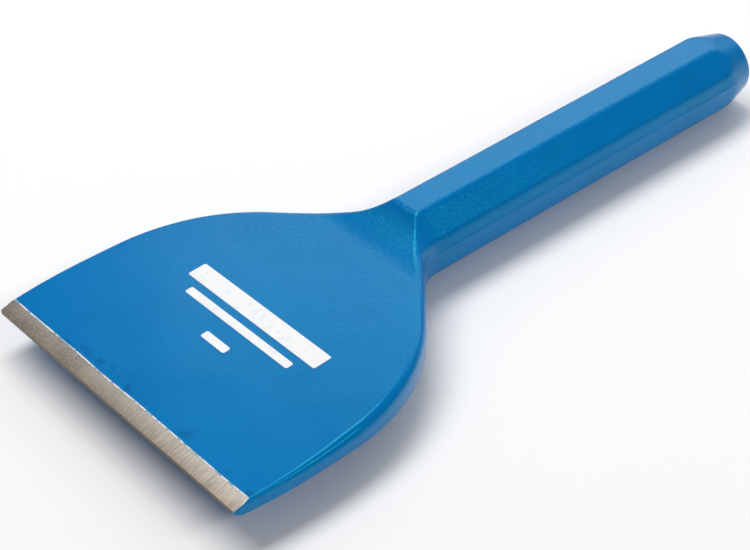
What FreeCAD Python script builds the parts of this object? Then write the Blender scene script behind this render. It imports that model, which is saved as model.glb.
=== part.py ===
"""Brick bolster chisel, 100 mm blade on a 22.5 mm octagonal shank.

The real tool is one drop forging.  It is painted all over, its cutting edge is then ground
bare, and plain white bars are printed on the blade.  So the separate pieces are the steel
forging, the paint coat around it, and each printed bar.

Every form is drawn in tool coordinates: X runs from the cutting edge (0) to the head, Y
across the blade, and Z up from the mid-plane.  A placement then lays the tool on the
shank's bottom flat, with the origin under the middle of its bounding box.
"""
import FreeCAD, Part
import math
import os
import Sketcher

V = FreeCAD.Vector

# Driving dimensions, in millimetres and degrees.
DIMENSIONS = {
    "overall_length": 216.0,
    "edge_width": 100.0,
    "octagon_flats": 22.5,
    "draft_angle": 5.0,          # forging draft on every side wall
    "parting_rise": 1.0,         # the dies parted this far above the mid-plane
    # Plan outline, from the cutting edge to the shank.
    "flank_angle": 5.0,          # the flanks widen behind the cutting edge
    "widest_at": 22.0,
    "crown_radius": 150.0,
    "crown_end_angle": 6.0,      # where the crown arc turns into the shoulder arc
    "shoulder_radius": 54.0,
    "neck_angle": 50.0,
    "neck_fillet": 12.0,
    # Ground edge: a blunt land between a long upper bevel and a short lower one.
    "land_top": 0.9,             # above the mid-plane
    "land_bottom": 0.25,         # below the mid-plane
    "bevel_length": 4.75,
    "lower_bevel_length": 2.6,
    # Side profile, from the cutting edge to the shank.
    "bevel_thickness": 4.2,      # blade thickness where the upper bevel starts
    "blade_taper": 2.35,         # each face rises at this angle towards the neck
    "ramp_start": 79.5,
    "ramp_radius": 21.5,         # concave ramp from the blade face up to the shank
    # Struck head: a cone down to a flat face with a rounded rim.
    "head_taper": 12.0,
    "head_radius": 8.9,
    "head_rim": 1.0,
    # Finish.
    "coat": 0.2,                 # thickness of the paint
    "ink": 0.1,                  # thickness of the print
}
# Printed bars: distance from the cutting edge, shift towards +Y, length across, height.
BARS = {
    "wide_bar": (44.4, -0.8, 52.0, 5.6),
    "thin_bar": (38.1, -0.9, 42.0, 2.4),
    "short_bar": (30.7, -1.5, 9.6, 2.4),
}
BAR_CORNER = 0.6                 # corner radius of a printed bar
OVERRUN = 20.0                   # forms run past the tool's ends, where other forms trim them
CLEAR_RADIUS = 70.0              # the head form stays outside the blade
CLEAR_HEIGHT = 20.0              # the ground form stays outside the shank
ORIGIN = (-1, 1)                 # a sketch's own origin point

doc = FreeCAD.newDocument("bolster")
sheet = doc.addObject("Spreadsheet::Sheet", "Sheet")


def fill_sheet():
    """Write the driving dimensions, each with its name beside it."""
    cells = dict(DIMENSIONS)
    for name, values in BARS.items():
        for field, value in zip(("at", "shift", "length", "height"), values):
            cells[f"{name}_{field}"] = value
    for row, (alias, value) in enumerate(cells.items(), start=1):
        sheet.set(f"A{row}", alias)
        sheet.set(f"B{row}", str(value))
        sheet.setAlias(f"B{row}", alias)
    doc.recompute()


def size(expression):
    """The number that an expression on the sheet gives."""
    return float(sheet.evalExpression(expression.replace("Sheet.", "")))


def ray(degrees, length):
    """A vector of some length at an angle from +X."""
    angle = math.radians(degrees)
    return V(length * math.cos(angle), length * math.sin(angle), 0)


def flip(point, side):
    """A point of the +Y half, or its mirror image in the X axis for side -1."""
    return V(point.x, side * point.y, 0)


# ---------------------------------------------------------------- sketches

def new_sketch(body, plane):
    """A sketch on one of the body's own origin planes."""
    sketch = body.newObject("Sketcher::SketchObject", f"{body.Name}Sketch")
    support = next(item for item in body.Origin.OriginFeatures if item.Role == plane)
    sketch.AttachmentSupport = [(support, "")]
    sketch.MapMode = "FlatFace"
    return sketch


def handle(sketch, curve, point):
    """A curve and which of its own points lies there: 1 start, 2 end, 3 centre."""
    return curve, next(end for end in (1, 2, 3)
                       if (sketch.getPoint(curve, end) - point).Length < 1e-6)


def bind(sketch, kind, places, expression):
    """Add a dimension that follows the sheet."""
    number = sketch.addConstraint(Sketcher.Constraint(kind, *places, size(expression)))
    sketch.setExpression(f"Constraints[{number}]", expression)


def draw_chain(sketch, chain):
    """Draw a closed chain of lines and arcs, joined end to end.

    Each entry is (start point, arc centre or None for a line, tangent to the curve before).
    Curve number i of the sketch is entry number i.
    """
    starts = [entry[0] for entry in chain]
    ends = starts[1:] + starts[:1]
    for start, end, (_, centre, _) in zip(starts, ends, chain):
        if centre is None:
            sketch.addGeometry(Part.LineSegment(start, end))
        else:
            middle = ((start + end) * 0.5 - centre).normalize()
            sketch.addGeometry(Part.Arc(start, centre + middle * (start - centre).Length, end))
    for curve, (start, _, tangent) in enumerate(chain):
        before = (curve - 1) % len(chain)
        places = handle(sketch, before, start) + handle(sketch, curve, start)
        sketch.addConstraint(Sketcher.Constraint("Tangent" if tangent else "Coincident", *places))


class HalfOutline:
    """A sketched outline that is drawn for +Y and mirrored in the X axis."""

    def __init__(self, sketch, half):
        self.sketch = sketch
        self.count = len(half)
        centres = [None] + [centre for _, centre, _ in half[:-1]]
        image = [(flip(point, -1), centre and flip(centre, -1), tangent)
                 for (point, _, tangent), centre in zip(half, centres)]
        draw_chain(sketch, half + image[::-1])

    def bind(self, kind, curve, expression, point=None, base=None):
        """Bind a dimension of one curve on both sides.

        With a point, the dimension runs to that point of the curve from the sketch's
        origin, or from the base, which is another point of the same curve.
        """
        for index, side in ((curve, 1), (2 * self.count - 2 - curve, -1)):
            places = (index,)
            if point:
                places = handle(self.sketch, index, flip(point, side))
                start = handle(self.sketch, index, flip(base, side)) if base else ORIGIN
                places = start + places
            sign = "-" if kind == "DistanceY" and side < 0 else ""
            bind(self.sketch, kind, places, f"{sign}({expression})")

    def level(self, curve):
        """Keep a line of the outline parallel to the X axis."""
        for index in (curve, 2 * self.count - 2 - curve):
            self.sketch.addConstraint(Sketcher.Constraint("Horizontal", index))


# ---------------------------------------------------------------- plan outline

def plan_half(inset, start_height, crown_centre_height):
    """Points and arc centres of the outline's +Y half, moved inwards by an inset."""
    flank = size("Sheet.flank_angle")
    crown_end = size("Sheet.crown_end_angle")
    neck = size("Sheet.neck_angle")
    crown = size("Sheet.crown_radius") - inset
    shoulder = size("Sheet.shoulder_radius") - inset
    fillet = size("Sheet.neck_fillet") + inset
    flat = size("Sheet.octagon_flats / 2") - inset

    crown_centre = V(size("Sheet.widest_at"), crown_centre_height, 0)
    crown_out = crown_centre + ray(90 - crown_end, crown)
    shoulder_centre = crown_centre + ray(90 - crown_end, crown - shoulder)
    shoulder_out = shoulder_centre + ray(90 - neck, shoulder)
    fillet_height = flat + fillet - ray(90 - neck, fillet).y
    neck_run = (shoulder_out.y - fillet_height) / ray(neck, 1).y
    fillet_in = shoulder_out + ray(-neck, neck_run)
    fillet_centre = fillet_in + ray(90 - neck, fillet)
    return {
        "start": V(-OVERRUN, start_height, 0),
        "crown_in": crown_centre + ray(90 + flank, crown),
        "crown_centre": crown_centre,
        "crown_out": crown_out,
        "shoulder_centre": shoulder_centre,
        "shoulder_out": shoulder_out,
        "fillet_in": fillet_in,
        "fillet_centre": fillet_centre,
        "fillet_out": V(fillet_centre.x, flat, 0),
        "end": V(size("Sheet.overall_length") + OVERRUN, flat, 0),
    }


def plan_form(name, inset, draft, parting):
    """The plan outline, moved inwards by an inset and padded both ways with draft."""
    body = doc.addObject("PartDesign::Body", name)
    sketch = new_sketch(body, "XY_Plane")
    sketch.setExpression("AttachmentOffset.Base.z", parting)
    start_height = (f"Sheet.edge_width / 2 - {OVERRUN} * tan(Sheet.flank_angle)"
                    f" - ({inset}) / cos(Sheet.flank_angle)")
    crown_height = ("Sheet.edge_width / 2 + Sheet.widest_at * tan(Sheet.flank_angle)"
                    " - Sheet.crown_radius / cos(Sheet.flank_angle)")
    crown_radius = f"Sheet.crown_radius - ({inset})"
    shoulder_radius = f"Sheet.shoulder_radius - ({inset})"
    at = plan_half(size(inset), size(start_height), size(crown_height))
    outline = HalfOutline(sketch, [
        (at["start"], None, False),
        (at["crown_in"], at["crown_centre"], True),
        (at["crown_out"], at["shoulder_centre"], True),
        (at["shoulder_out"], None, True),
        (at["fillet_in"], at["fillet_centre"], True),
        (at["fillet_out"], None, True),
        (at["end"], None, False),
    ])
    flank, crown, shoulder, _, fillet, shank = range(6)
    outline.bind("DistanceX", flank, f"-{OVERRUN}", at["start"])
    outline.bind("DistanceY", flank, start_height, at["start"])
    outline.bind("DistanceX", crown, "Sheet.widest_at", at["crown_centre"])
    outline.bind("DistanceY", crown, crown_height, at["crown_centre"])
    outline.bind("Radius", crown, crown_radius)
    outline.bind("DistanceX", crown, f"({crown_radius}) * sin(Sheet.crown_end_angle)",
                 at["crown_out"], at["crown_centre"])
    outline.bind("Radius", shoulder, shoulder_radius)
    outline.bind("DistanceX", shoulder, f"({shoulder_radius}) * sin(Sheet.neck_angle)",
                 at["shoulder_out"], at["shoulder_centre"])
    outline.bind("Radius", fillet, f"Sheet.neck_fillet + ({inset})")
    outline.bind("DistanceY", shank, f"Sheet.octagon_flats / 2 - ({inset})", at["end"])
    outline.bind("DistanceX", shank, f"Sheet.overall_length + {OVERRUN}", at["end"])
    outline.level(shank)

    pad = body.newObject("PartDesign::Pad", f"{name}Pad")
    pad.Profile = sketch
    pad.SideType = "Two sides"
    for suffix in ("", "2"):
        pad.setExpression(f"Length{suffix}", "Sheet.octagon_flats / 2 + 2")
        pad.setExpression(f"TaperAngle{suffix}", f"-({draft})")
    return body


# ---------------------------------------------------------------- side profile

def profile_form(name, inset):
    """The forged side profile, moved inwards by an inset and padded across the blade."""
    body = doc.addObject("PartDesign::Body", name)
    sketch = new_sketch(body, "XZ_Plane")
    flat_height = f"Sheet.octagon_flats / 2 - ({inset})"
    start_height = (f"Sheet.bevel_thickness / 2 - (Sheet.bevel_length + {OVERRUN})"
                    f" * tan(Sheet.blade_taper) - ({inset}) / cos(Sheet.blade_taper)")
    ramp_radius = f"Sheet.ramp_radius + ({inset})"
    ramp_centre_run = "Sheet.ramp_start - Sheet.ramp_radius * sin(Sheet.blade_taper)"
    ramp_centre_rise = ("Sheet.bevel_thickness / 2"
                        " + (Sheet.ramp_start - Sheet.bevel_length) * tan(Sheet.blade_taper)"
                        " + Sheet.ramp_radius * cos(Sheet.blade_taper)")

    start = V(-OVERRUN, size(start_height), 0)
    ramp_centre = V(size(ramp_centre_run), size(ramp_centre_rise), 0)
    ramp_in = ramp_centre - ray(90 + size("Sheet.blade_taper"), size(ramp_radius))
    flat = size(flat_height)
    drop = ramp_centre.y - flat
    ramp_out = V(ramp_centre.x + math.sqrt(size(ramp_radius) ** 2 - drop ** 2), flat, 0)
    end = V(size("Sheet.overall_length") + OVERRUN, flat, 0)

    outline = HalfOutline(sketch, [
        (start, None, False),
        (ramp_in, ramp_centre, True),
        (ramp_out, None, False),
        (end, None, False),
    ])
    face, ramp, top = range(3)
    outline.bind("DistanceX", face, f"-{OVERRUN}", start)
    outline.bind("DistanceX", ramp, ramp_centre_run, ramp_centre)
    outline.bind("DistanceY", ramp, ramp_centre_rise, ramp_centre)
    outline.bind("Radius", ramp, ramp_radius)
    outline.bind("DistanceX", ramp, f"({ramp_radius}) * sin(Sheet.blade_taper)",
                 ramp_in, ramp_centre)
    outline.bind("DistanceX", top, f"Sheet.overall_length + {OVERRUN}", end)
    outline.bind("DistanceY", top, flat_height, end)
    outline.level(top)
    pad_across(body, sketch)
    return body


def pad_across(body, sketch):
    """Pad a side profile both ways, past the blade's sides."""
    pad = body.newObject("PartDesign::Pad", f"{body.Name}Pad")
    pad.Profile = sketch
    pad.SideType = "Symmetric"
    pad.setExpression("Length", f"2 * {CLEAR_RADIUS}")


def ground_form(name):
    """The ground edge, padded across: the land and bevels, open behind around the tool.

    It has no inset, because the edge is ground through the paint into the steel.
    """
    body = doc.addObject("PartDesign::Body", name)
    sketch = new_sketch(body, "XZ_Plane")
    lower_face = ("(Sheet.bevel_thickness / 2 + (Sheet.lower_bevel_length"
                  " - Sheet.bevel_length) * tan(Sheet.blade_taper))")
    upper_run = (f"({CLEAR_HEIGHT} - Sheet.land_top) * Sheet.bevel_length"
                 " / (Sheet.bevel_thickness / 2 - Sheet.land_top)")
    lower_run = (f"({CLEAR_HEIGHT} - Sheet.land_bottom) * Sheet.lower_bevel_length"
                 f" / ({lower_face} - Sheet.land_bottom)")
    tail = f"Sheet.overall_length + {OVERRUN}"
    corners = [
        V(0, -size("Sheet.land_bottom"), 0),
        V(0, size("Sheet.land_top"), 0),
        V(size(upper_run), CLEAR_HEIGHT, 0),
        V(size(tail), CLEAR_HEIGHT, 0),
        V(size(tail), -CLEAR_HEIGHT, 0),
        V(size(lower_run), -CLEAR_HEIGHT, 0),
    ]
    draw_chain(sketch, [(corner, None, False) for corner in corners])
    land, upper_bevel, top, back, bottom, lower_bevel = range(6)
    bind(sketch, "DistanceX", ORIGIN + (land, 1), "0")
    bind(sketch, "DistanceY", ORIGIN + (land, 1), "-Sheet.land_bottom")
    bind(sketch, "DistanceY", ORIGIN + (land, 2), "Sheet.land_top")
    bind(sketch, "DistanceX", ORIGIN + (upper_bevel, 2), upper_run)
    bind(sketch, "DistanceY", ORIGIN + (upper_bevel, 2), f"{CLEAR_HEIGHT}")
    bind(sketch, "DistanceX", ORIGIN + (lower_bevel, 1), lower_run)
    bind(sketch, "DistanceY", ORIGIN + (lower_bevel, 1), f"-{CLEAR_HEIGHT}")
    bind(sketch, "DistanceX", ORIGIN + (back, 1), tail)
    for upright in (land, back):
        sketch.addConstraint(Sketcher.Constraint("Vertical", upright))
    for level in (top, bottom):
        sketch.addConstraint(Sketcher.Constraint("Horizontal", level))
    pad_across(body, sketch)
    return body


# ---------------------------------------------------------------- struck head

def head_form(name, inset):
    """A revolved envelope: clear of the blade, then the head's cone, rim and end face."""
    body = doc.addObject("PartDesign::Body", name)
    sketch = new_sketch(body, "XZ_Plane")
    cone_slope = ("(Sheet.octagon_flats / 2 / cos(22.5) - Sheet.head_radius)"
                  " / Sheet.head_taper")
    rim_radius = f"Sheet.head_rim - ({inset})"
    rim_run = "Sheet.overall_length - Sheet.head_rim"
    rim_rise = (f"Sheet.head_radius + Sheet.head_rim * {cone_slope}"
                f" - Sheet.head_rim / cos(atan({cone_slope}))")
    cone_run = "Sheet.overall_length - Sheet.head_taper"

    rim_centre = V(size(rim_run), size(rim_rise), 0)
    cone_angle = math.degrees(math.atan(size(cone_slope)))
    rim_in = rim_centre + ray(90 - cone_angle, size(rim_radius))
    rim_out = rim_centre + V(size(rim_radius), 0, 0)
    cone_in = V(size(cone_run), rim_in.y + (rim_in.x - size(cone_run)) * size(cone_slope), 0)
    corners = [
        V(-OVERRUN, 0, 0),
        V(-OVERRUN, CLEAR_RADIUS, 0),
        V(size(cone_run), CLEAR_RADIUS, 0),
    ]
    draw_chain(sketch, [(corner, None, False) for corner in corners] + [
        (cone_in, None, False),
        (rim_in, rim_centre, True),
        (rim_out, None, True),
        (V(rim_out.x, 0, 0), None, False),
    ])
    axis_start, outside, step, cone, rim, face, axis = range(7)
    bind(sketch, "DistanceX", ORIGIN + (axis_start, 1), f"-{OVERRUN}")
    bind(sketch, "DistanceY", ORIGIN + (axis_start, 2), f"{CLEAR_RADIUS}")
    bind(sketch, "DistanceX", ORIGIN + (step, 1), cone_run)
    bind(sketch, "DistanceX", ORIGIN + (rim, 3), rim_run)
    bind(sketch, "DistanceY", ORIGIN + (rim, 3), rim_rise)
    bind(sketch, "Radius", (rim,), rim_radius)
    bind(sketch, "DistanceX", handle(sketch, rim, rim_centre) + handle(sketch, rim, rim_in),
         f"({rim_radius}) * sin(atan({cone_slope}))")
    for upright in (axis_start, step, face):
        sketch.addConstraint(Sketcher.Constraint("Vertical", upright))
    sketch.addConstraint(Sketcher.Constraint("Horizontal", outside))
    sketch.addConstraint(Sketcher.Constraint("PointOnObject", axis, 1, -1))
    sketch.addConstraint(Sketcher.Constraint("PointOnObject", axis, 2, -1))

    turned = body.newObject("PartDesign::Revolution", f"{name}Turned")
    turned.Profile = sketch
    turned.ReferenceAxis = (sketch, ["H_Axis"])
    turned.Angle = 360
    return body


# ---------------------------------------------------------------- pieces

def lay_down(form):
    """Move a form from tool coordinates so that the shank's bottom flat is at Z = 0."""
    form.setExpression("Placement.Base.x", "-Sheet.overall_length / 2")
    form.setExpression("Placement.Base.z", "Sheet.octagon_flats / 2")


def chisel_form(name, inset):
    """The whole tool inside a coat: what the profile and all the other forms share.

    The facet form follows the plan outline at 45 degrees.  It cuts the octagon's slanted
    flats and lets them run out around the neck.
    """
    facet_inset = f"({inset}) * sqrt(2) - Sheet.octagon_flats / 2 * tan(22.5)"
    shared = profile_form(f"{name}Profile", inset)
    for form in (
        ground_form(f"{name}Ground"),
        plan_form(f"{name}Plan", inset, "Sheet.draft_angle", "Sheet.parting_rise"),
        plan_form(f"{name}Facets", facet_inset, "45", "0"),
        head_form(f"{name}Head", inset),
    ):
        common = doc.addObject("Part::Common", f"{form.Name}Common")
        common.Base = shared
        common.Tool = form
        shared = common
    return shared


def printed_bar(name):
    """A thin bar of ink with rounded corners, lying on the blade's sloping top face."""
    body = doc.addObject("PartDesign::Body", name)
    sketch = new_sketch(body, "XY_Plane")
    half_run = f"Sheet.{name}_height / 2"
    half_reach = f"Sheet.{name}_length / 2"
    inner = V(size(half_run) - BAR_CORNER, size(half_reach) - BAR_CORNER, 0)
    outer = V(size(half_run), size(half_reach), 0)
    back_corner = V(-inner.x, inner.y, 0)
    outline = HalfOutline(sketch, [
        (V(-outer.x, inner.y, 0), back_corner, True),
        (V(-inner.x, outer.y, 0), None, True),
        (V(inner.x, outer.y, 0), inner, True),
        (V(outer.x, inner.y, 0), None, True),
    ])
    back, front = 0, 2
    for corner, centre, sign in ((back, back_corner, "-"), (front, inner, "")):
        outline.bind("Radius", corner, f"{BAR_CORNER}")
        outline.bind("DistanceX", corner, f"{sign}({half_run} - {BAR_CORNER})", centre)
        outline.bind("DistanceY", corner, f"{half_reach} - {BAR_CORNER}", centre)

    pad = body.newObject("PartDesign::Pad", f"{name}Pad")
    pad.Profile = sketch
    pad.setExpression("Length", "Sheet.ink")

    body.Placement = FreeCAD.Placement(V(), FreeCAD.Rotation(V(0, -1, 0), 1))
    body.setExpression("Placement.Rotation.Angle", "Sheet.blade_taper")
    body.setExpression("Placement.Base.x", f"Sheet.{name}_at - Sheet.overall_length / 2")
    body.setExpression("Placement.Base.y", f"Sheet.{name}_shift")
    body.setExpression("Placement.Base.z",
                       "Sheet.octagon_flats / 2 + Sheet.bevel_thickness / 2"
                       f" + (Sheet.{name}_at - Sheet.bevel_length) * tan(Sheet.blade_taper)")
    return body


def build_pieces():
    """Make each separate piece of the tool, labelled with its node name."""
    outside = chisel_form("Painted", "0")
    steel = chisel_form("Steel", "Sheet.coat")
    coat = doc.addObject("Part::Cut", "Coat")
    coat.Base = outside
    coat.Tool = steel
    steel.Label = "steel_forging"
    coat.Label = "paint_coat"
    for form in (outside, steel):
        lay_down(form)
    bars = [printed_bar(name) for name in BARS]
    for bar in bars:
        bar.Label = f"printed_{bar.Name}"
    doc.recompute()
    return [steel, coat, *bars]


def check(pieces):
    """Stop if any object failed to build or any piece isn't one sound solid."""
    for item in doc.Objects:
        if {"Invalid", "Error"} & set(item.State):
            raise RuntimeError(f"{item.Name} failed to build")
    for piece in pieces:
        shape = piece.Shape
        if shape.isNull() or not shape.isValid() or len(shape.Solids) != 1:
            raise RuntimeError(f"{piece.Label} isn't one sound solid")


def write(pieces):
    """Write one STEP file for each piece."""
    os.makedirs("parts", exist_ok=True)
    for piece in pieces:
        piece.Shape.exportStep(f"parts/{piece.Label}.step")
        print(f"{piece.Label}: {piece.Shape.Volume:.1f} mm3")


fill_sheet()
all_pieces = build_pieces()
check(all_pieces)
write(all_pieces)
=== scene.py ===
"""Looks of the brick bolster chisel: paint coat, ground steel edge and printed bars."""

import math

import bmesh
import bpy
import numpy as np
from mathutils import Matrix, Vector


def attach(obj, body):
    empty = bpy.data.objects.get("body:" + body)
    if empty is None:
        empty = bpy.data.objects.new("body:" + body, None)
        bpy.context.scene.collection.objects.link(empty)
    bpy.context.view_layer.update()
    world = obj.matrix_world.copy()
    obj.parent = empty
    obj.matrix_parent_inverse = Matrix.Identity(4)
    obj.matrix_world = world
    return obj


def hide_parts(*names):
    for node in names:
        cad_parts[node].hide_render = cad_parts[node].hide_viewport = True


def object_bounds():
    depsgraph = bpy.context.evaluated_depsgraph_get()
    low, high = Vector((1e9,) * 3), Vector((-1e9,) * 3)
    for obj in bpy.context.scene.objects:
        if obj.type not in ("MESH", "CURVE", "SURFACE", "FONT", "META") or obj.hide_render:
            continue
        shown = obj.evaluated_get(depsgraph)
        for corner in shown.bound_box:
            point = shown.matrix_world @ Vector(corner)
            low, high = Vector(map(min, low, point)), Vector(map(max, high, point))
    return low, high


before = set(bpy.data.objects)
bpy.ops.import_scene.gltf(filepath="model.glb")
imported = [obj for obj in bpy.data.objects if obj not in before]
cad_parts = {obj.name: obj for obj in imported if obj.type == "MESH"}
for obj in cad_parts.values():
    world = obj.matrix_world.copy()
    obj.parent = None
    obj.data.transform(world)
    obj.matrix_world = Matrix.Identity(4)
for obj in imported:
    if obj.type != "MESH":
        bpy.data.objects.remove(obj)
cad_low, cad_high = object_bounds()

# ------------------------------------------------------------------ sizes
# Lengths are millimetres in tool coordinates: X from the cutting edge to the head, Y across
# the blade, Z up from the mid-plane.  Angles are degrees.

MM = 0.001
LENGTH = (cad_high.x - cad_low.x) / MM
HALF_FLATS = (cad_high.z - cad_low.z) / MM / 2
ORIGIN = Vector((cad_low.x, (cad_low.y + cad_high.y) / 2, (cad_low.z + cad_high.z) / 2))

HALF_EDGE = 50.0            # half the cutting edge
FLANK_ANGLE = 5.0           # plan outline
WIDEST_AT = 22.0
CROWN_RADIUS = 150.0
CROWN_END_ANGLE = 6.0
SHOULDER_RADIUS = 54.0
NECK_ANGLE = 50.0
NECK_FILLET = 12.0
DRAFT_ANGLE = 5.0
PARTING_RISE = 1.0

LAND_TOP = 0.9              # side profile
LAND_BOTTOM = 0.25
BEVEL_LENGTH = 4.75
LOWER_BEVEL_LENGTH = 2.6
HALF_BEVEL = 2.1
BLADE_TAPER = 2.35
RAMP_START = 79.5
RAMP_RADIUS = 21.5

HEAD_TAPER = 12.0           # struck head
HEAD_RADIUS = 8.9
HEAD_RIM = 1.0

TOP_ROUNDING = 0.7          # radii of the forging's edges: ramp to top flat
TIP_ROUNDING = 0.6          # face to wall, at the ground edge
FLANK_ROUNDING = 2.0        # face to wall, at the widest part of the blade
SHANK_ROUNDING = 0.7        # flat to flat
HEAD_ROUNDING = 0.4         # flats to the head's cone

FACET_REACH = HALF_FLATS * math.tan(math.radians(22.5))
COAT = 0.08                 # paint thickness
PLAY = 0.01                 # keeps the steel just clear of the paint around it
PEAK_RIDGE = 0.13           # flash left at the parting line of the shank
RIDGE_WIDTH = 0.35
FACE_WAVE = 0.05            # unevenness of the forged faces
SKIN_WAVE = 0.03

FLANK_ROUNDS = (4.0, 34.0)      # stretches of X in which the blade's edges grow rounder,
SHANK_SHARPENS = (74.0, 94.0)   # the neck's edges grow sharper again,
RIDGE_RISES = (88.0, 100.0)     # the flash begins,
SKIN_RISES = (6.0, 16.0)        # the uneven skin begins
SKIN_FALLS = (212.0, 216.0)     # and ends

HALVINGS = 36               # of the search for a surface
BEYOND = 70.0               # further out than any part of the tool

CAMERA_TARGET = (85.63, 4.57, -9.53)        # the point that the camera looks at
CAMERA_AZIMUTH = -36.77
CAMERA_ELEVATION = 37.84
CAMERA_ROLL = -4.84
CAMERA_DISTANCE = 526.1
CAMERA_LENS = 95.68


def sin(degrees):
    return math.sin(math.radians(degrees))


def cos(degrees):
    return math.cos(math.radians(degrees))


def tan(degrees):
    return math.tan(math.radians(degrees))


def blend(x, start, end):
    """0 before the start, 1 after the end, and a smooth step between them."""
    share = np.clip((x - start) / (end - start), 0, 1)
    return share * share * (3 - 2 * share)


def solve(field, low, high):
    """Where a field that rises through zero between low and high is zero, by halving."""
    low, high = np.broadcast_arrays(low, high)
    low, high = low.astype(float), high.astype(float)
    for _ in range(HALVINGS):
        middle = (low + high) / 2
        inside = field(middle) < 0
        low = np.where(inside, middle, low)
        high = np.where(inside, high, middle)
    return (low + high) / 2


# ------------------------------------------------------------------ the tool's form
# Each form is a field: the distance outside a surface, negative inside it.

def plan_chain():
    """The half outline: (start, heading, bend radius) of each stretch, edge to shank.

    A positive radius bends towards the axis and a negative one away from it.
    """
    crown_centre = np.array([WIDEST_AT, HALF_EDGE + WIDEST_AT * tan(FLANK_ANGLE)
                             - CROWN_RADIUS / cos(FLANK_ANGLE)])
    crown_out = crown_centre + CROWN_RADIUS * np.array([sin(CROWN_END_ANGLE), cos(CROWN_END_ANGLE)])
    shoulder_centre = crown_out - SHOULDER_RADIUS * np.array(
        [sin(CROWN_END_ANGLE), cos(CROWN_END_ANGLE)])
    shoulder_out = shoulder_centre + SHOULDER_RADIUS * np.array([sin(NECK_ANGLE), cos(NECK_ANGLE)])
    fillet_height = HALF_FLATS + NECK_FILLET * (1 - cos(NECK_ANGLE))
    run = (shoulder_out[1] - fillet_height) / tan(NECK_ANGLE)
    fillet_in = np.array([shoulder_out[0] + run, fillet_height])
    return [
        (np.array([0.0, HALF_EDGE]), FLANK_ANGLE, 0),
        (crown_centre + CROWN_RADIUS * np.array([-sin(FLANK_ANGLE), cos(FLANK_ANGLE)]),
         FLANK_ANGLE, CROWN_RADIUS),
        (crown_out, -CROWN_END_ANGLE, SHOULDER_RADIUS),
        (shoulder_out, -NECK_ANGLE, 0),
        (fillet_in, -NECK_ANGLE, -NECK_FILLET),
        (fillet_in + np.array([NECK_FILLET * sin(NECK_ANGLE), HALF_FLATS - fillet_height]), 0, 0),
    ]


PLAN = plan_chain()


def plan_distance(x, y):
    """Distance outside the plan outline at the parting line."""
    y = np.abs(y)
    distance = None
    for start, heading, radius in PLAN:
        along_x, along_y = cos(heading), sin(heading)
        dx, dy = x - start[0], y - start[1]
        if radius:
            centre_x = dx + radius * -along_y
            centre_y = dy + radius * along_x
            reach = np.hypot(centre_x, centre_y)
            here = (reach - abs(radius)) * np.sign(radius)
        else:
            here = dy * along_x - dx * along_y
        reached = dx * along_x + dy * along_y >= 0
        distance = here if distance is None else np.where(reached, here, distance)
    return distance


def meet(a, b, radius):
    """The form inside both fields, with the edge between them rounded."""
    return (np.minimum(np.maximum(a, b), -radius)
            + np.hypot(np.maximum(a + radius, 0), np.maximum(b + radius, 0)))


def waves(seed, longest, shortest, count=14):
    """A smooth random field between about -1 and 1, the same each run."""
    draw = np.random.default_rng(seed)
    lengths = np.geomspace(longest, shortest, count)
    headings = draw.normal(size=(count, 3))
    headings /= np.linalg.norm(headings, axis=1)[:, None]
    phases = draw.uniform(0, 2 * math.pi, count)
    weights = lengths / lengths.sum() * 2.2     # the waves seldom peak together

    def field(x, y, z):
        total = 0
        for length, (a, b, c), phase, weight in zip(lengths, headings, phases, weights):
            total = total + weight * np.sin(2 * math.pi / length * (a * x + b * y + c * z) + phase)
        return np.clip(total, -1, 1)

    return field


face_waves = waves(seed=4, longest=60, shortest=9)
skin_waves = waves(seed=11, longest=36, shortest=7)


def face_unevenness(x, y, z):
    """How far the forged blade faces, each with its own waves, stand above their planes."""
    return FACE_WAVE * face_waves(x, y, 30 * np.sign(z))


def thickness_field(x, y, z, inset):
    """Blade faces, the ramps up to the shank, and the shank's top and bottom flats."""
    height = np.abs(z)
    face_height = HALF_BEVEL + (x - BEVEL_LENGTH) * tan(BLADE_TAPER)
    face = (height - face_height - face_unevenness(x, y, z)) * cos(BLADE_TAPER)
    centre_x = RAMP_START - RAMP_RADIUS * sin(BLADE_TAPER)
    centre_z = (HALF_BEVEL + (RAMP_START - BEVEL_LENGTH) * tan(BLADE_TAPER)
                + RAMP_RADIUS * cos(BLADE_TAPER))
    dx, dz = x - centre_x, centre_z - height
    ramp = RAMP_RADIUS - np.hypot(dx, np.maximum(dz, 0))
    past = dx * cos(BLADE_TAPER) - dz * sin(BLADE_TAPER) > 0
    return meet(np.where(past, ramp, face) + inset, height - HALF_FLATS + inset,
                TOP_ROUNDING)


def wall_field(x, y, z, inset):
    """The drafted side walls, with the flash ridge along the shank's parting line."""
    height = z - PARTING_RISE
    ridge = PEAK_RIDGE * np.exp(-(height / RIDGE_WIDTH) ** 2) * blend(x, *RIDGE_RISES)
    draft = (plan_distance(x, y) + np.abs(height) * tan(DRAFT_ANGLE)) * cos(DRAFT_ANGLE)
    return draft - ridge + inset


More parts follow.
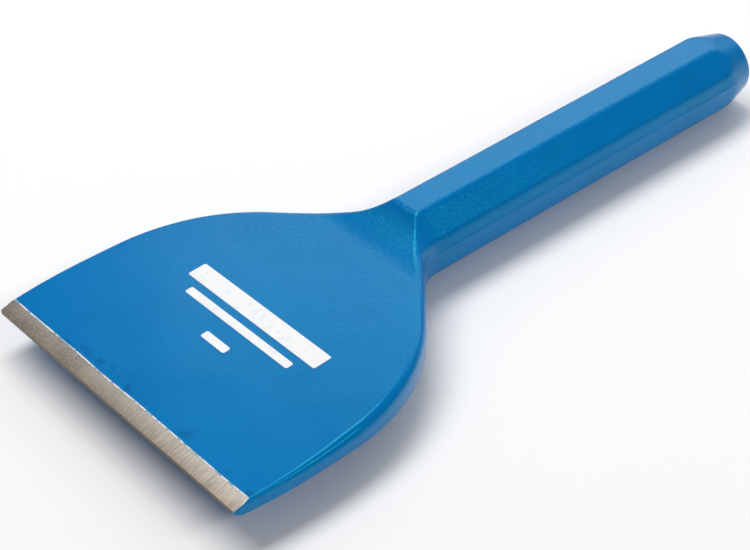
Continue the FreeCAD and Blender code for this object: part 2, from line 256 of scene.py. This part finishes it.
def painted_field(x, y, z, inset=0.0):
    """The whole tool as forged, inside its paint."""
    facet = (plan_distance(x, y) + np.abs(z) - FACET_REACH) * math.sqrt(0.5) + inset
    edge_radius = (TIP_ROUNDING + (FLANK_ROUNDING - TIP_ROUNDING) * blend(x, *FLANK_ROUNDS)
                   - (FLANK_ROUNDING - SHANK_ROUNDING) * blend(x, *SHANK_SHARPENS))
    body = meet(thickness_field(x, y, z, inset), facet, edge_radius)
    body = meet(body, wall_field(x, y, z, inset), edge_radius)
    cone_slope = (HALF_FLATS / cos(22.5) - HEAD_RADIUS) / HEAD_TAPER
    cone = (np.hypot(y, z) - HEAD_RADIUS - (LENGTH - x) * cone_slope) / math.hypot(1, cone_slope)
    head = meet(cone + inset, x - LENGTH + inset, HEAD_RIM)
    skin = SKIN_WAVE * (1 - skin_waves(x, y, z))
    skin = skin * blend(x, *SKIN_RISES) * (1 - blend(x, *SKIN_FALLS))
    return meet(body, head, HEAD_ROUNDING) + skin


UPPER_SLOPE = (HALF_BEVEL - LAND_TOP) / BEVEL_LENGTH
LOWER_SLOPE = (HALF_BEVEL - (BEVEL_LENGTH - LOWER_BEVEL_LENGTH) * tan(BLADE_TAPER)
               - LAND_BOTTOM) / LOWER_BEVEL_LENGTH


def ground_field(x, z, inset=0.0):
    """The two ground bevels: a long shallow one above and a short steep one below."""
    upper = (z - LAND_TOP - x * UPPER_SLOPE) / math.hypot(1, UPPER_SLOPE)
    lower = (-z - LAND_BOTTOM - x * LOWER_SLOPE) / math.hypot(1, LOWER_SLOPE)
    return np.maximum(upper, lower) + inset


def coat_field(x, y, z, inset=0.0):
    """The painted tool with its edge ground through the paint.

    The inside of the coat lies a quarter of its inset below the ground planes.
    """
    return np.maximum(painted_field(x, y, z, inset), ground_field(x, z, inset / 4))


# ------------------------------------------------------------------ grids over the form

TOP_COUNT = 44              # rays from a section's middle to its first edge
FACET_COUNT = 18            # rays across a slanted flat, or a rounded edge
WALL_COUNT = 10             # rays from there to the parting line
EDGE_STEP = 0.1             # spacing of the rays at an edge
RAY_REACH = 1.7             # how far past its aim a ray looks for the surface
BEND_END = 16.0             # where the loops that follow the paint lines are straight again
SHORTEN_REACH = 30.0        # how much of the shank an inner skin is shortened over
HALF_LOOP = 2 * (TOP_COUNT + FACET_COUNT + WALL_COUNT)
UPPER_RISE = UPPER_SLOPE - tan(BLADE_TAPER)         # of each bevel against its face
LOWER_RISE = LOWER_SLOPE - tan(BLADE_TAPER)
BARE_LENGTH = BEVEL_LENGTH - COAT / UPPER_RISE
LOWER_BARE_LENGTH = LOWER_BEVEL_LENGTH - COAT / LOWER_RISE


def run(start, end, count, crowd):
    """Points from start up to but not including end, crowded at "start", "end" or "both".

    The steps grow exponentially from EDGE_STEP at each crowded end.
    """
    length = np.hypot(end[0] - start[0], end[1] - start[1])
    # A strength s makes the first step s / expm1(s) of an even one, so the step wanted gives s.
    strengths = np.linspace(8, 1e-6, 300)
    wanted = EDGE_STEP * count / np.maximum(length, EDGE_STEP) * (2 if crowd == "both" else 1)
    strength = np.interp(wanted, strengths / np.expm1(strengths), strengths)[:, None]

    def grow(share):
        return np.expm1(strength * share) / np.expm1(strength)

    share = np.arange(count) / count
    shares = {
        "start": lambda: grow(share),
        "end": lambda: 1 - grow(1 - share),
        "both": lambda: np.where(share < 0.5, grow(2 * share) / 2, 1 - grow(2 - 2 * share) / 2),
    }[crowd]()
    return tuple(a[:, None] + (b - a)[:, None] * shares for a, b in zip(start, end))


def aims(x):
    """Where each section's rays aim: +Y half, from its top's middle to its bottom's middle.

    The rays find the real surface.  The aims only crowd them at the form's edges.
    """
    none = np.zeros_like(x)
    top = solve(lambda z: coat_field(x, none, z), none, 2 * HALF_FLATS)
    bottom = solve(lambda z: coat_field(x, none, -z), none, 2 * HALF_FLATS)
    side = solve(lambda y: coat_field(x, y, none), none, BEYOND)
    # How far the rounded edge between face and wall reaches across each of them.
    rounding = COAT + 0.9 * blend(x, BARE_LENGTH - 0.8, 10) + 0.5 * blend(x, 10, 34)

    def half_aims(sign, height):
        rise = np.abs(height - sign * PARTING_RISE) * tan(DRAFT_ANGLE)
        depth = np.maximum(height - FACET_REACH, rounding + rise)
        corner = solve(lambda y: plan_distance(x, y) + depth, none, BEYOND)
        arris = (FACET_REACH - sign * PARTING_RISE * tan(DRAFT_ANGLE)) / (1 - tan(DRAFT_ANGLE))
        low = np.minimum(arris, height - rounding)
        fall = np.abs(low - sign * PARTING_RISE) * tan(DRAFT_ANGLE)
        wall = solve(lambda y: plan_distance(x, y) + fall, none, BEYOND)
        shrink = np.minimum(side / solve(lambda y: plan_distance(x, y), none, BEYOND), 1)
        return (corner * shrink, sign * height), (wall * shrink, sign * low)

    upper_corner, upper_arris = half_aims(1, top)
    lower_corner, lower_arris = half_aims(-1, bottom)
    parting = (side, np.minimum(PARTING_RISE, 0.5 * upper_arris[1]))
    half = [
        run((none, top), upper_corner, TOP_COUNT, "end"),
        run(upper_corner, upper_arris, FACET_COUNT, "both"),
        run(upper_arris, parting, WALL_COUNT, "both"),
        run(parting, lower_arris, WALL_COUNT, "both"),
        run(lower_arris, lower_corner, FACET_COUNT, "both"),
        run(lower_corner, (none, -bottom), TOP_COUNT, "start"),
        (none[:, None], -bottom[:, None]),
    ]
    y = np.concatenate([part[0] for part in half], axis=1)
    z = np.concatenate([part[1] for part in half], axis=1)
    y = np.concatenate([y, -y[:, -2:0:-1]], axis=1)
    z = np.concatenate([z, z[:, -2:0:-1]], axis=1)
    core = side - np.minimum(top, HALF_FLATS - FACET_REACH)
    return y, z, top[:, None], bottom[:, None], core[:, None]


def surface(stations, field, shorten=0.0):
    """The field's surface points in tool coordinates, one loop for each station.

    Stations near the ground edge bend with the faces, so one follows each paint line.  Those
    near the head move back by up to shorten, so an inner skin ends inside the outer one.
    """
    y, z, top, bottom, core = aims(stations)
    upper_bend = np.interp(stations, [0, BARE_LENGTH, BEVEL_LENGTH, BEND_END], [0, 1, 1, 0])
    lower_bend = np.interp(stations, [0, LOWER_BARE_LENGTH, LOWER_BEVEL_LENGTH, BEND_END],
                           [0, 1, 1, 0])
    upper_bend = upper_bend[:, None] * np.clip(z / top, 0, 1)
    lower_bend = lower_bend[:, None] * np.clip(-z / bottom, 0, 1)
    upper_shift = upper_bend * face_unevenness(BEVEL_LENGTH, y, 1) / UPPER_RISE
    lower_shift = lower_bend * face_unevenness(LOWER_BEVEL_LENGTH, y, -1) / LOWER_RISE
    x = stations[:, None] + (upper_shift + lower_shift)
    x = x - shorten * blend(x, LENGTH - SHORTEN_REACH, LENGTH)
    start = np.clip(y, -core, core)
    reach = solve(lambda t: field(x, start + t * (y - start), t * z), np.zeros_like(y), RAY_REACH)
    return np.stack([x, start + reach * (y - start), reach * z], axis=-1)


def stations():
    """Where the loops stand along the tool: close together at its edges.

    Each stretch is (start, end, intervals).  The paint lines and the bevels' ends fall on even
    loops, because the steel and the inside of the coat have only those.
    """
    stretches = [
        (0, LOWER_BARE_LENGTH, 6), (LOWER_BARE_LENGTH, LOWER_BEVEL_LENGTH, 2),
        (LOWER_BEVEL_LENGTH, BARE_LENGTH, 4), (BARE_LENGTH, BEVEL_LENGTH, 2), (BEVEL_LENGTH, 6, 6),
        (6, 66, 52), (66, 79, 26), (79, 92.6, 34), (92.6, 94.6, 26), (94.6, 100, 8),
        (100, 200, 56), (200, 209, 26), (209, LENGTH - HEAD_RIM, 10),
    ]
    rim = LENGTH - HEAD_RIM * (1 - np.sin(np.linspace(0, math.pi / 2, 11)))
    rim[-1] -= 0.0005       # just inside the flat end face
    return np.concatenate([np.linspace(a, b, n, endpoint=False) for a, b, n in stretches] + [rim])


def close_head(loops):
    """Add rings that close the head's flat end face around its middle."""
    last = loops[-1]
    middle = last.mean(axis=0)
    rings = [middle + (last - middle) * share for share in (0.9, 0.75, 0.6, 0.45, 0.3, 0.15)]
    return np.concatenate([loops, rings]), middle


def to_frame(points):
    """From tool coordinates to the frame."""
    return [ORIGIN + Vector(point) * MM for point in points.reshape(-1, 3)]


def make_piece(name, points, faces, zones, replaced, materials):
    """A closed smooth mesh piece that rides on the tool and stands for a CAD node.

    Each face's zone is its material's number, and the edges between zones are sharp.
    """
    mesh = bpy.data.meshes.new(name)
    mesh.from_pydata(points, [], faces)
    for material in materials:
        mesh.materials.append(material)
    mesh.polygons.foreach_set("material_index", zones)
    mesh.polygons.foreach_set("use_smooth", [True] * len(faces))
    shape = bmesh.new()
    shape.from_mesh(mesh)
    loose = [vert for vert in shape.verts if not vert.link_faces]
    bmesh.ops.delete(shape, geom=loose, context="VERTS")
    bmesh.ops.recalc_face_normals(shape, faces=shape.faces)
    for edge in shape.edges:
        edge.smooth = len({side.material_index for side in edge.link_faces}) == 1
    shape.to_mesh(mesh)
    shape.free()
    piece = bpy.data.objects.new(name, mesh)
    bpy.context.scene.collection.objects.link(piece)
    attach(piece, "root")
    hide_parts(replaced)


# ------------------------------------------------------------------ materials

def new_material(name, **sockets):
    """A Principled material with its constants set on the shader's own sockets."""
    material = bpy.data.materials.new(name)
    material.use_nodes = True
    shader = material.node_tree.nodes["Principled BSDF"]
    for socket, value in sockets.items():
        shader.inputs[socket.replace("_", " ")].default_value = value
    return material, material.node_tree, shader


def object_noise(tree, scale, detail=2.0, stretch=(1, 1, 1), roughness=0.5):
    """Noise in the object's own coordinates, with features about 1 / scale metres long."""
    place = tree.nodes.new("ShaderNodeTexCoord")
    mapping = tree.nodes.new("ShaderNodeMapping")
    mapping.inputs["Scale"].default_value = stretch
    noise = tree.nodes.new("ShaderNodeTexNoise")
    noise.inputs["Scale"].default_value = scale
    noise.inputs["Detail"].default_value = detail
    noise.inputs["Roughness"].default_value = roughness
    tree.links.new(place.outputs["Object"], mapping.inputs["Vector"])
    tree.links.new(mapping.outputs["Vector"], noise.inputs["Vector"])
    return noise.outputs["Fac"]


def ramp(tree, value, stops):
    """A colour ramp: (position, colour) stops."""
    node = tree.nodes.new("ShaderNodeValToRGB")
    elements = node.color_ramp.elements
    while len(elements) < len(stops):
        elements.new(0.5)
    for element, (position, colour) in zip(elements, stops):
        element.position = position
        element.color = (*colour, 1)
    tree.links.new(value, node.inputs["Fac"])
    return node.outputs["Color"]


def remap(tree, value, low, high, start=0.3, end=0.7):
    """A value from a noise's usual range to a range of its own."""
    node = tree.nodes.new("ShaderNodeMapRange")
    node.inputs["From Min"].default_value = start
    node.inputs["From Max"].default_value = end
    node.inputs["To Min"].default_value = low
    node.inputs["To Max"].default_value = high
    tree.links.new(value, node.inputs["Value"])
    return node.outputs["Result"]


def along(tree, axis, start, end):
    """0 up to the start and 1 past the end along an axis, in tool coordinates."""
    place = tree.nodes.new("ShaderNodeTexCoord")
    split = tree.nodes.new("ShaderNodeSeparateXYZ")
    tree.links.new(place.outputs["Object"], split.inputs["Vector"])
    origin = ORIGIN["XYZ".index(axis)]
    return remap(tree, split.outputs[axis], 0, 1, origin + start * MM, origin + end * MM)


def mixed(tree, share, first, second):
    """A value that goes from the first to the second with the share."""
    node = tree.nodes.new("ShaderNodeMix")
    for socket, value in (("Factor", share), ("A", first), ("B", second)):
        tree.links.new(value, node.inputs[socket])
    return node.outputs["Result"]


def growing(tree, noise, share, least):
    """A noise that swings by the least part of its range, growing with the share to all of it."""
    return mixed(tree, share, remap(tree, noise, 0.5 - least / 2, 0.5 + least / 2, 0, 1), noise)


def multiplied(tree, first, second):
    """Two colours, or two values, multiplied."""
    node = tree.nodes.new("ShaderNodeVectorMath")
    node.operation = "MULTIPLY"
    tree.links.new(first, node.inputs[0])
    tree.links.new(second, node.inputs[1])
    return node.outputs["Vector"]


def bump(tree, shader, layers):
    """Chain bumps: (height, depth in metres) layers."""
    before = None
    for height, depth in layers:
        node = tree.nodes.new("ShaderNodeBump")
        node.inputs["Distance"].default_value = depth
        tree.links.new(height, node.inputs["Height"])
        if before:
            tree.links.new(before, node.inputs["Normal"])
        before = node.outputs["Normal"]
    tree.links.new(before, shader.inputs["Normal"])


def blue_paint():
    """Stoved enamel: a faint orange peel over the forging's grit, and smudges by the edge.

    The blade is smoother than the neck and the shank.
    """
    material, tree, shader = new_material("blue_paint", Specular_Tint=(0.05, 1.0, 0.8, 1))
    cloud = object_noise(tree, 45, detail=4)
    colour = ramp(tree, cloud, [(0.35, (0.0, 0.165, 0.470)), (0.65, (0.0, 0.176, 0.500))])
    specks = object_noise(tree, 240, detail=5, roughness=0.65)
    near_edge = along(tree, "X", 10.5, 5.5)
    smudges = multiplied(tree, near_edge, remap(tree, specks, 0, 1, 0.54, 0.64))
    stain = ramp(tree, smudges, [(0.0, (1.0, 1.0, 1.0)), (1.0, (1.0, 0.62, 0.70))])
    tree.links.new(multiplied(tree, colour, stain), shader.inputs["Base Color"])
    forged = along(tree, "X", 45, 75)
    peel = growing(tree, object_noise(tree, 700, detail=2), forged, 0.5)
    grit = growing(tree, object_noise(tree, 1600, detail=3), forged, 0.15)
    tree.links.new(remap(tree, cloud, 0.15, 0.20), shader.inputs["Roughness"])
    bump(tree, shader, [(peel, 0.00004), (grit, 0.0001)])
    return material


def ground_paint():
    """The paint's ground section: dull and pale, mottled from blue to near white."""
    material, tree, shader = new_material("ground_paint")
    pale_mottle = object_noise(tree, 700, detail=3)
    colour = ramp(tree, pale_mottle, [(0.38, (0.20, 0.40, 0.55)), (0.55, (0.84, 0.88, 0.90))])
    tree.links.new(colour, shader.inputs["Base Color"])
    tree.links.new(remap(tree, pale_mottle, 0.5, 0.7), shader.inputs["Roughness"])
    bump(tree, shader, [(pale_mottle, 0.00002)])
    return material


def ground_steel(name, tone):
    """Bare steel: grinder's marks square to the cutting edge, mottled on the +Y side.

    It is darker and warmer towards the cutting edge, as painted shade.
    """
    material, tree, shader = new_material(name, Metallic=1.0)
    lines = object_noise(tree, 4500, detail=3, stretch=(0.03, 1, 0.2), roughness=0.7)
    mottle = object_noise(tree, 2000, detail=4, roughness=0.65)
    marks = mixed(tree, along(tree, "Y", -20, 20), lines, mottle)
    cloud = object_noise(tree, 90, detail=3)
    dark, light = [tuple(tone * share * channel for channel in (1.0, 0.91, 0.80))
                   for share in (0.66, 1.15)]
    colour = ramp(tree, marks, [(0.36, dark), (0.62, light)])
    # Painted shade: the steel darkens and warms over the last 3.5 mm to the cutting edge.
    painted_edge_shade = ramp(tree, along(tree, "X", 0, 3.5),
                [(0.0, (0.70, 0.64, 0.58)), (1.0, (1.0, 1.0, 1.0))])
    tree.links.new(multiplied(tree, colour, painted_edge_shade), shader.inputs["Base Color"])
    tree.links.new(remap(tree, cloud, 0.34, 0.46), shader.inputs["Roughness"])
    bump(tree, shader, [(marks, 0.00002)])
    return material


def white_ink():
    """Flat screen-printed ink with a slightly uneven film."""
    material, tree, shader = new_material("white_ink")
    film = object_noise(tree, 700, detail=3)
    colour = ramp(tree, film, [(0.30, (0.82, 0.86, 0.88)), (0.50, (0.92, 0.93, 0.94))])
    tree.links.new(colour, shader.inputs["Base Color"])
    tree.links.new(remap(tree, film, 0.45, 0.6), shader.inputs["Roughness"])
    bump(tree, shader, [(film, 0.00001)])
    return material


def pale_floor():
    """Matt white paper, very slightly uneven."""
    material, tree, shader = new_material("pale_floor", Roughness=0.9)
    cloud = object_noise(tree, 3, detail=2)
    colour = ramp(tree, cloud, [(0.3, (0.97, 0.97, 0.97)), (0.7, (0.98, 0.98, 0.98))])
    tree.links.new(colour, shader.inputs["Base Color"])
    return material


# ------------------------------------------------------------------ pieces

def first_rows(places, columns):
    """The row where the coat begins in each column of its inside: a paint line, or the edge."""
    half_top = TOP_COUNT // 2
    under = columns // 2
    firsts = np.zeros(columns, int)
    firsts[:half_top] = firsts[-half_top:] = np.argmin(np.abs(places - BARE_LENGTH))
    firsts[under - half_top:under + half_top] = np.argmin(np.abs(places - LOWER_BARE_LENGTH))
    return firsts


def ground_faces(loops, places):
    """1 for each face between loops that the grinding made, and 0 for the others."""
    corners = loops[:-1] + loops[1:]
    centres = (corners + np.roll(corners, -1, axis=1)) / 4
    near_edge = int(np.sum(places < 2 * BEVEL_LENGTH))
    x, y, z = np.moveaxis(centres[:near_edge], -1, 0)
    ground = np.zeros(centres.shape[:2], int)
    ground[:near_edge] = ground_field(x, z) > painted_field(x, y, z)
    return ground


def paint_coat(places):
    """The coat as a closed shell.  Its inside has a quarter of the outside's faces."""
    outer, outer_middle = close_head(surface(places, coat_field))
    inner, inner_middle = close_head(
        surface(places[::2], lambda x, y, z: coat_field(x, y, z, COAT), COAT))
    loop = outer.shape[1]
    inner = inner[:, ::2]
    rings = len(places[::2])
    inner = np.concatenate([inner[:rings], inner[rings + 1::2]])
    rows, columns = (len(outer) - 1) // 2, loop // 2
    base = outer.shape[0] * loop
    firsts = first_rows(places, columns)
    ground = ground_faces(outer, places)

    def top(row, column):
        return row * loop + column % loop

    def under(row, column):
        return base + row * columns + column % columns

    def kept(row, column):
        return firsts[column % columns] <= 2 * row < 2 * rows

    faces, zones = [], []
    for row in range(rows):
        for column in range(columns):
            if not kept(row, column):
                continue
            r, c = 2 * row, 2 * column
            for a in (r, r + 1):
                for b in (c, c + 1):
                    faces.append((top(a, b), top(a, b + 1), top(a + 1, b + 1), top(a + 1, b)))
                    zones.append(ground[a, b])
            faces.append((under(row, column), under(row + 1, column),
                          under(row + 1, column + 1), under(row, column + 1)))
            # The cut edge of the coat, where the face beside this one is ground away.
            if not kept(row - 1, column):
                faces.append((top(r, c), top(r, c + 1), top(r, c + 2),
                              under(row, column + 1), under(row, column)))
            if not kept(row, column - 1):
                faces.append((top(r, c), top(r + 1, c), top(r + 2, c),
                              under(row + 1, column), under(row, column)))
            if not kept(row, column + 1):
                faces.append((top(r, c + 2), top(r + 1, c + 2), top(r + 2, c + 2),
                              under(row + 1, column + 1), under(row, column + 1)))
            zones += [1] * (len(faces) - len(zones))
    end = base + inner.shape[0] * columns
    for column in range(loop):
        faces.append((top(2 * rows, column), top(2 * rows, column + 1), end))
    for column in range(columns):
        faces.append((under(rows, column), under(rows, column + 1), end + 1))
    zones += [0] * (len(faces) - len(zones))
    points = np.concatenate([outer.reshape(-1, 3), inner.reshape(-1, 3),
                             [outer_middle, inner_middle]])
    make_piece("painted_body", to_frame(points), faces, zones, "paint_coat",
               [blue_paint(), ground_paint()])


def steel_forging(places):
    """The steel inside the paint, bare on the ground bevels and the land."""
    loops = surface(places, lambda x, y, z: np.maximum(
        painted_field(x, y, z, COAT + PLAY), ground_field(x, z, 0)), COAT + PLAY)
    loops, middle = close_head(loops)
    loop = loops.shape[1]
    faces = []
    for row in range(len(loops) - 1):
        for column in range(loop):
            a, b = row * loop + column, row * loop + (column + 1) % loop
            faces.append((a, b, b + loop, a + loop))
    last = (len(loops) - 1) * loop
    for column in range(loop):
        faces.append((last + column, last + (column + 1) % loop, len(loops) * loop))
    zones = [0] * len(faces)
    for column in range(HALF_LOOP // 2):        # the land closes the cutting edge
        for side in (1, -1):
            strip = (column, column + 1, HALF_LOOP - column - 1, HALF_LOOP - column)
            faces.append(tuple(dict.fromkeys(side * place % loop for place in strip)))
    points = np.concatenate([loops.reshape(-1, 3), [middle]])
    zones += [1] * (len(faces) - len(zones))
    # The land's copy of the steel is darker only as painted shade: tone 0.21 against 0.36.
    steels = [ground_steel("ground_steel", tone=0.36), ground_steel("land_painted_shade", tone=0.21)]
    make_piece("ground_edge_forging", to_frame(points), faces, zones, "steel_forging",
               steels)


def printed_bars():
    """Keep the CAD bars, each with the ink's finish."""
    ink = white_ink()
    for name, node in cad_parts.items():
        if name.startswith("printed_"):
            node.data.materials.clear()
            node.data.materials.append(ink)


# ------------------------------------------------------------------ studio

PANEL_DISTANCE = 1.2        # metres
HALF_FLOOR = 3.0
ROOM_LIGHT = 0.22


def look_from(azimuth, elevation):
    """The direction towards a place in the studio; azimuth turns from -Y towards +X."""
    return Vector((sin(azimuth) * cos(elevation), -cos(azimuth) * cos(elevation), sin(elevation)))


def add_camera():
    """A long lens from above the near corner of the blade."""
    target = ORIGIN + Vector(CAMERA_TARGET) * MM
    back = look_from(CAMERA_AZIMUTH, CAMERA_ELEVATION)
    camera = bpy.data.objects.new("camera", bpy.data.cameras.new("camera"))
    camera.data.lens = CAMERA_LENS
    camera.data.clip_start = 0.01
    bpy.context.scene.collection.objects.link(camera)
    turn = (-back).to_track_quat("-Z", "Y").to_matrix()
    turn = turn @ Matrix.Rotation(math.radians(CAMERA_ROLL), 3, "Z")
    camera.matrix_world = Matrix.Translation(target + back * CAMERA_DISTANCE * MM) @ turn.to_4x4()
    bpy.context.scene.camera = camera


def add_panel(name, azimuth, elevation, width, height, power):
    """A soft light panel that faces the tool: metres and watts."""
    light = bpy.data.lights.new(name, "AREA")
    light.shape = "RECTANGLE"
    light.size, light.size_y = width, height
    light.energy = power
    panel = bpy.data.objects.new(name, light)
    back = look_from(azimuth, elevation)
    panel.location = ORIGIN + back * PANEL_DISTANCE
    panel.rotation_euler = back.to_track_quat("Z", "Y").to_euler()
    bpy.context.scene.collection.objects.link(panel)


def add_studio():
    """The floor, the even light of a pale room, and three panels."""
    corners = [(-1, -1), (1, -1), (1, 1), (-1, 1)]
    mesh = bpy.data.meshes.new("floor")
    mesh.from_pydata([(x * HALF_FLOOR, y * HALF_FLOOR, cad_low.z) for x, y in corners],
                     [], [(0, 1, 2, 3)])
    mesh.materials.append(pale_floor())
    floor = bpy.data.objects.new("floor", mesh)
    bpy.context.scene.collection.objects.link(floor)

    world = bpy.data.worlds.new("studio")
    world.use_nodes = True
    world.node_tree.nodes["Background"].inputs["Color"].default_value = (1, 1, 1, 1)
    world.node_tree.nodes["Background"].inputs["Strength"].default_value = ROOM_LIGHT
    bpy.context.scene.world = world
    bpy.context.scene.view_settings.view_transform = "Standard"
    add_panel("overhead", azimuth=172, elevation=70, width=1.2, height=0.5, power=10.4)
    add_panel("right_panel", azimuth=120, elevation=33, width=1.2, height=0.6, power=2.8)
    add_panel("edge_light", azimuth=20, elevation=37, width=0.6, height=0.1, power=2.7)


# ------------------------------------------------------------------ scene

places = stations()
paint_coat(places)
steel_forging(places[::2])
printed_bars()
add_camera()
add_studio()
